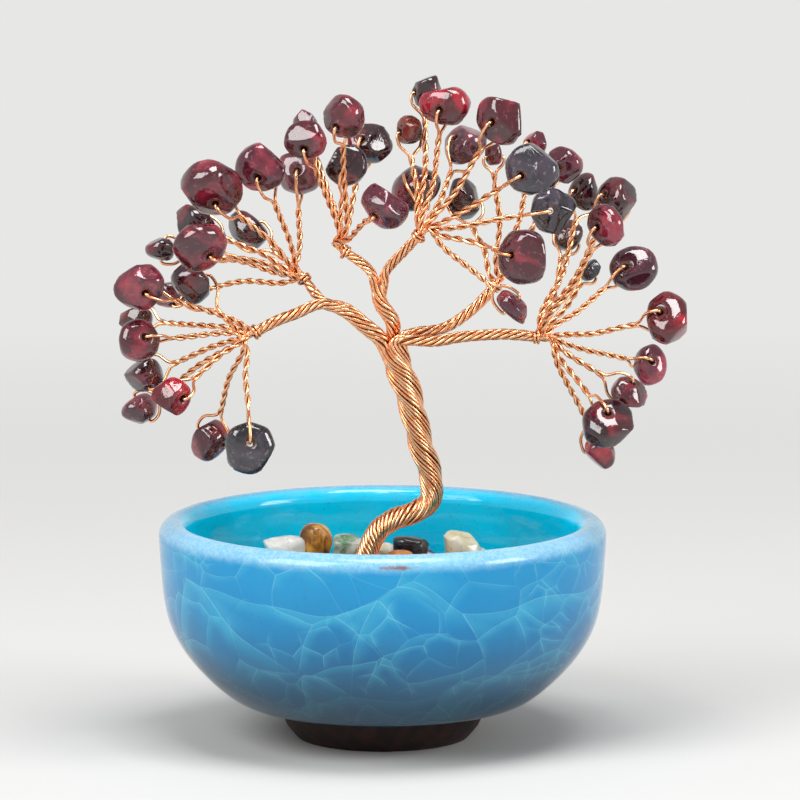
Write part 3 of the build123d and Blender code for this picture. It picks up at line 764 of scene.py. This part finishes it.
def passOn(carried, laid, way, middle, longer=1.0):
    # each wire laid on a new line goes on from the nearest one that arrives; the rest come up from inside
    near = sorted((norm(old[-1, :3] - new[0, :3]), i, j)
                  for i, old in enumerate(carried) for j, new in enumerate(laid))
    source, onward = {}, np.append(way, np.zeros(4))
    for _, i, j in near:
        if j not in source and i not in source.values():
            source[j] = i
    joined = []
    for j, new in enumerate(laid):
        if j in source:
            old = carried[source[j]]
            oldStep, newStep = [norm(b[:3] - a[:3]) for a, b in (old[-2:], new[:2])]
            before = round(passing["before"] * longer / oldStep)
            after = min(round(passing["after"] * longer / newStep), len(new) - 2)
            share = eased(before + after)[:, None]
            leave = np.vstack((old[-before:], old[-1] + np.arange(after)[:, None] * newStep * onward))
            land = np.vstack((new[0] - np.arange(before, 0, -1)[:, None] * oldStep * onward, new[:after]))
            joined.append(np.vstack((old[:-before], leave * (1 - share) + land * share, new[after:])))
        else:
            share = eased(passing["rising"] + 1)[:-1, None]
            lead = np.repeat(new[:1], passing["rising"], 0)
            spread = passing["inside"] + (1 - passing["inside"]) * share
            lead[:, :3] = middle + (new[0, :3] - middle) * spread - way * (1 - share) * passing["depth"]
            joined.append(np.vstack((lead, new)))
    return joined


def makeTree():
    core, lines, step = Weave(), {}, trunk["step"]
    root = placeAt(*trunk["root"])
    root[2] = trunk["bedTop"]
    points = [root - (0, 0, trunk["rootDepth"]), root, *[placeAt(*row) for row in trunk["line"]]]
    line = smoothLine(points, (0, 0, 1), points[-1] - points[-2], step)
    share = alongOf(line) / alongOf(line)[-1]
    (low, elbow, top), bend = trunk["radii"], trunk["elbow"]
    radius = np.where(share < bend, low + (elbow - low) * share / bend,
                      elbow + (top - elbow) * (np.clip(share - bend, 0, 1) / (1 - bend)) ** 2)
    laid = {"trunk": layWires(line, radius, np.interp(share, *zip(*trunk["lay"])), trunk["wires"], trunk["seed"],
                              trunk["lobes"], trunk["fewer"], np.interp(share, trunk["few"], (1, 0)))}
    # the trunk's core, painted in full shade
    core.wire(line, radius - cores["under"][0], cores["sides"][0], dark=1.0)
    ends = {"trunk": (*endPlane(line), top)}
    for table, (lay, count, seed), knot in ((limbs, lays["limb"], 0), (ropes, lays["rope"], lays["knot"])):
        for name, (carrier, (along, above), radii, rows) in table.items():
            # off its carrier's end, its wires laid round it and on past its own end into the knot
            middle, way, side, up, reach = ends[carrier]
            points = [middle + (side * along + up * above) * reach, *[placeAt(*row) for row in rows]]
            line = smoothLine(points, way, points[-1] - points[-2], step)
            whole = np.vstack((line, line[-1] + unit(line[-1] - line[-2]) * np.arange(step, knot, step)[:, None]))
            first, last = np.broadcast_to(radii, 2)
            radius = first + (last - first) * alongOf(whole) / alongOf(whole)[-1]
            inner = np.append(cores["tip"], radius[:len(line)] - cores["under"][1]).clip(cores["least"])
            # its core, painted in full shade
            core.wire(np.vstack((points[0] - way * cores["back"], line)), inner, cores["sides"][1], dark=1.0)
            lines[name], laid[name] = line, layWires(whole, radius, lay, count, len(name) + seed)
            ends[name] = (*endPlane(line), last)
    for carrier in ("trunk", *limbs):
        names = [name for name, row in {**limbs, **ropes}.items() if row[0] == carrier]
        longer = passing["longer"] if carrier == "trunk" else 1.0
        middle, way = ends[carrier][:2]
        together = passOn(laid[carrier], sum((laid[name] for name in names), []), way, middle, longer)
        for name in names:
            laid[name], together = together[:len(laid[name])], together[len(laid[name]):]
    return core, lines, laid


trunkPiece, ropeLines, ropeWires = makeTree()
print("trunk, limbs and ropes laid")


# twigs: each a wire through a chip's bore, its two ends twisted together to the hub
legs = {"within": 0.75, "mouth": (0.12, 0.5), "shoulder": (1.2, 0.62, 4), "crotch": (0.5, 0.42), "finer": 0.7}
twigs = {"front": 0.6, "sway": (0.02, 0.035), "near": (1.6, 0.5), "lift": 0.25, "under": 0.9, "pitch": (0.9, 1.12),
         "shade": 0.45}
hubs = {"spread": (0.15, 0.7), "turns": 1.7, "points": 28, "reach": 1.12, "least": 0.72, "start": 0.1, "sides": 6}


def legLine(reach, half):
    # from the middle of the bore, out of its mouth and over the chip's shoulder to the crotch
    off, full, (past, above) = wires["radius"] + wires["gap"], chips["fullness"], legs["mouth"]
    path = [(0, 0), (0, half * legs["within"]), (past, half + above * off)]
    for a in np.linspace(*legs["shoulder"]):
        x, z = reach * cos(a) ** (2 / full), half * sin(a) ** (2 / full)
        nx, nz = (x / reach) ** (full - 1) / reach, (z / half) ** (full - 1) / half
        size = (nx * nx + nz * nz) ** 0.5
        path.append((x + off * nx / size, z + off * nz / size))
    clear, share = legs["crotch"]
    path.append((reach + off + clear + share * half, wires["radius"]))
    return path


def twigWires(number, start, way):
    # the two wires of a twig, each from the hub to the middle of the bore
    name, bore, up, corners, half = boreOf(number)
    toward = unit(start - bore)
    level = corners - np.outer(corners @ up, up)
    front = level[(level @ toward) > twigs["front"] * norm(level, axis=1)]
    path = legLine(norm(front, axis=1).max(), half)
    crotch = bore + toward * path[-1][0]
    rng, (far, close) = Random(number), twigs["near"]
    lean, length = unit(start - crotch), norm(start - crotch)
    sway = unit(np.cross(lean, (rng.uniform(-1, 1), 1, rng.uniform(-1, 1)))) * rng.uniform(*twigs["sway"]) * length
    line = smoothLine([crotch, crotch + (start - crotch) * 0.5 + sway, start - lean * far,
                       start - lean * close + way * twigs["lift"], start - way * twigs["under"]],
                      lean, -way, wires["step"])
    _, side, third = steadySides(line, up)
    turned = 2 * pi * alongOf(line) / (wires["pitch"] * rng.uniform(*twigs["pitch"]) * (1 + abs(lean[1]) ** 3))
    pair = []
    for sign in (1, -1):
        leg = [bore + toward * x + up * sign * z for x, z in path]
        over = smoothLine(leg, up * sign, lean, wires["step"] * legs["finer"])[:-1]
        out = sign * roundAt(turned, side, third)
        places = np.vstack((over, (line + wires["radius"] * out)[1:]))
        inward = np.vstack((np.zeros(over.shape), out[1:] * -twigs["shade"]))
        pair.append(np.column_stack((places, np.full(len(places), wires["radius"]), inward))[::-1])
    return pair


def makeTwigs(name, numbers):
    # the rope's wires go on into the twigs, one or both of each pair; the rest start in the hub
    weave, arrived, count = Weave(), list(ropeWires[name]), len(numbers)
    middle, way, side, up = endPlane(ropeLines[name])
    first, spread = hubs["spread"]
    for k, number in enumerate(numbers):
        share = first + spread * k / (count - 1)
        start = middle + way * share * lays["knot"]
        for place, rows in enumerate(twigWires(number, start, way)):
            if len(arrived) >= (count - k) * (place + 1):
                old = arrived.pop(0)
                cut = len(old) - round((1 - share) * lays["knot"] / trunk["step"])
                rows = passOn([old[:cut]], [rows], way, start)[0]
                split = cut - round(passing["before"] / trunk["step"]) - 1
                trunkPiece.strand(rows[:split + 1], wires["sides"])
                weave.strand(rows[split:], wires["sides"])
            else:
                weave.strand(passOn([], [rows], way, start)[0], wires["sides"])
    for old in arrived:
        trunkPiece.strand(old, wires["sides"])
    station = np.linspace(0, 1, hubs["points"])  # a wire end wound round the knot
    out = roundAt(station * hubs["turns"] * 2 * pi + numbers[-1], side, up)
    reach = hubs["reach"] * (hubs["least"] + (1 - hubs["least"]) * np.sin(station * pi) ** 0.5)
    wound = middle + out * reach[:, None] + way * (station + hubs["start"])[:, None]
    # its inner side, toward the knot, gets painted shade
    weave.strand(np.column_stack((wound, np.full(len(wound), wires["radius"]), -out)), hubs["sides"])
    weave.piece(name + "_wires", "tree", [copper], "copper", name + "_twigs")


numbers = iter(range(1, number + 1))
for name, tones in chipTones.items():
    makeTwigs(name, [next(numbers) for _ in tones.split()])
trunkPiece.piece("twisted_trunk", "tree", [copper], "copper", "trunk")
print("twigs twisted")


# gravel between the stones
gravel = {
    "tries": 2520, "sizes": (0.7, 1.7), "edge": 24.5, "slope": (20.1, 22.7), "seed": 11,
    "wall": 31.4, "over": 0.6, "root": 2.6, "nearStone": 0.55, "nearBit": 0.86, "height": (0.5, 0.72), "sunk": 0.92,
    "around": 14, "rows": 9, "tip": 0.05, "bluntness": 0.8, "uneven": (0.16, 0.1), "seeds": 50,
    "tones": ("white", "quartz", "jasper", "amber", "black", "plum", "rose"),
}


def nearStone(spot, size, floor):
    for middle, reaches, half in stonePlaces:
        apart = spot - middle[:2]
        step = round((np.arctan2(apart[1], apart[0]) % (2 * pi)) / (2 * pi) * len(reaches)) % len(reaches)
        if np.hypot(*apart) < reaches[step] + size * gravel["nearStone"] and floor < middle[2] + half:
            return True
    return False


def gravelLump(weave, middle, size, half, seed):
    turn, (wide, narrow) = turnsOf(gravel["around"]), gravel["uneven"]
    reaches = [size * (1 + wide * sin(2 * a + seed) + narrow * sin(3 * a + 2 * seed)) for a in turn]
    rings = []
    for a in np.linspace(pi / 2 - gravel["tip"], gravel["tip"] - pi / 2, gravel["rows"]):
        across, rise = cos(a) ** gravel["bluntness"], np.sign(sin(a)) * abs(sin(a)) ** gravel["bluntness"]
        rings.append([middle + (cos(b) * reach * across, sin(b) * reach * across, half * rise)
                      for b, reach in zip(turn, reaches)])
    weave.grid(np.array(rings))


def makeGravel():
    weave, tones, placed, rng = Weave(), [], [], Random(gravel["seed"])
    wall, edge, top, (flat, low) = gravel["wall"], gravel["edge"], trunk["bedTop"], gravel["slope"]
    root = placeAt(*trunk["root"])[:2]
    for _ in range(gravel["tries"]):
        reach, angle = wall * rng.random() ** 0.5, rng.uniform(0, 2 * pi)
        size = rng.uniform(*gravel["sizes"])
        spot = np.array((reach * cos(angle), reach * sin(angle)))
        tone, seed = rng.randrange(len(gravel["tones"])), rng.random() * gravel["seeds"]
        floor = edge + (top - edge) * min(1, max(0, (low - reach) / (low - flat)))
        if (reach + size > wall + gravel["over"] or np.hypot(*(spot - root)) < gravel["root"] + size
                or nearStone(spot, size, floor)
                or any(np.hypot(*(spot - other)) < (size + bulk) * gravel["nearBit"] for other, bulk in placed)):
            continue
        placed.append((spot, size))
        half, before = size * rng.uniform(*gravel["height"]), len(weave.faces)
        gravelLump(weave, np.array((*spot, floor + half * gravel["sunk"])), size, half, seed)
        tones.extend([tone] * (len(weave.faces) - before))
    weave.piece("gravel", "tree", [stoneFinishes[name] for name in gravel["tones"]], "pale_stone", tones=tones)
    return len(placed)


print(makeGravel(), "bits of gravel laid")


# floor, lamps and surroundings
surroundings = {
    "floor": (0.60, 0.595, 0.58), "far": (0.80, 0.80, 0.79), "fade": (0.10, 0.55), "half": 3.0,
    "world": (0.80, 0.81, 0.83), "strength": 0.38,
    "sky": (0.06, 0.6, 0.62),  # from and to which rise the seen sky darkens, and how far
}


def makeFloor():
    mesh, half = bpy.data.meshes.new("floor"), surroundings["half"]
    mesh.from_pydata([(-half, -half, 0), (half, -half, 0), (half, half, 0), (-half, half, 0)], [], [(0, 1, 2, 3)])
    floor = bpy.data.objects.new("floor", mesh)
    putIn(floor)
    pale = Finish("pale_floor", Base_Color=surroundings["floor"], Roughness=0.75)
    away = pale.vector("LENGTH", pale.place(), output="Value")
    far = pale.node("Emission", None, {"Color": surroundings["far"], "Strength": 1.0})
    lit = Signal(pale, pale.shader.outputs[0])
    both = pale.node("MixShader", None, {0: away.between(*surroundings["fade"]) * pale.seen(), 1: lit, 2: far})
    pale.feed(pale.tree.nodes["Material Output"].inputs["Surface"], both)
    mesh.materials.append(pale.material)


lamps = {  # place in millimetres, size, watts
    "left_softbox": ((-640, -560, 760), 640, 9.0),
    "right_softbox": ((820, -300, 420), 340, 3.8),
    "top_softbox": ((80, -160, 900), 420, 6.0),
}
lampAim = (0, 0, 60)


def makeLamps():
    for name, (place, size, watts) in lamps.items():
        lamp = bpy.data.objects.new(name, bpy.data.lights.new(name, "AREA"))
        lamp.data.size, lamp.data.energy = size * mm, watts
        lamp.location = Vector(place) * mm
        lamp.rotation_euler = (Vector(lampAim) * mm - lamp.location).to_track_quat("-Z", "Y").to_euler()
        putIn(lamp)


def makeSky():
    # even light from all round, seen as pale as the floor at the horizon
    sky = Sky(bpy.data.worlds.new("studio"))
    scene.world = sky.material
    seen = sky.seen()
    way = sky.node("TexCoord", output="Generated")
    rise = Signal(sky, sky.node("SeparateXYZ", None, {0: way}).socket.node.outputs["Z"])
    low, high, least = surroundings["sky"]
    glow = 1 - rise.between(low, high) * (1 - least)
    sky.show(Color=sky.mix(seen, surroundings["world"], surroundings["far"]),
             Strength=seen * glow + (1 - seen) * surroundings["strength"])


makeFloor()
makeLamps()
makeSky()
scene.view_settings.view_transform = "Standard"
print("floor and lamps set")
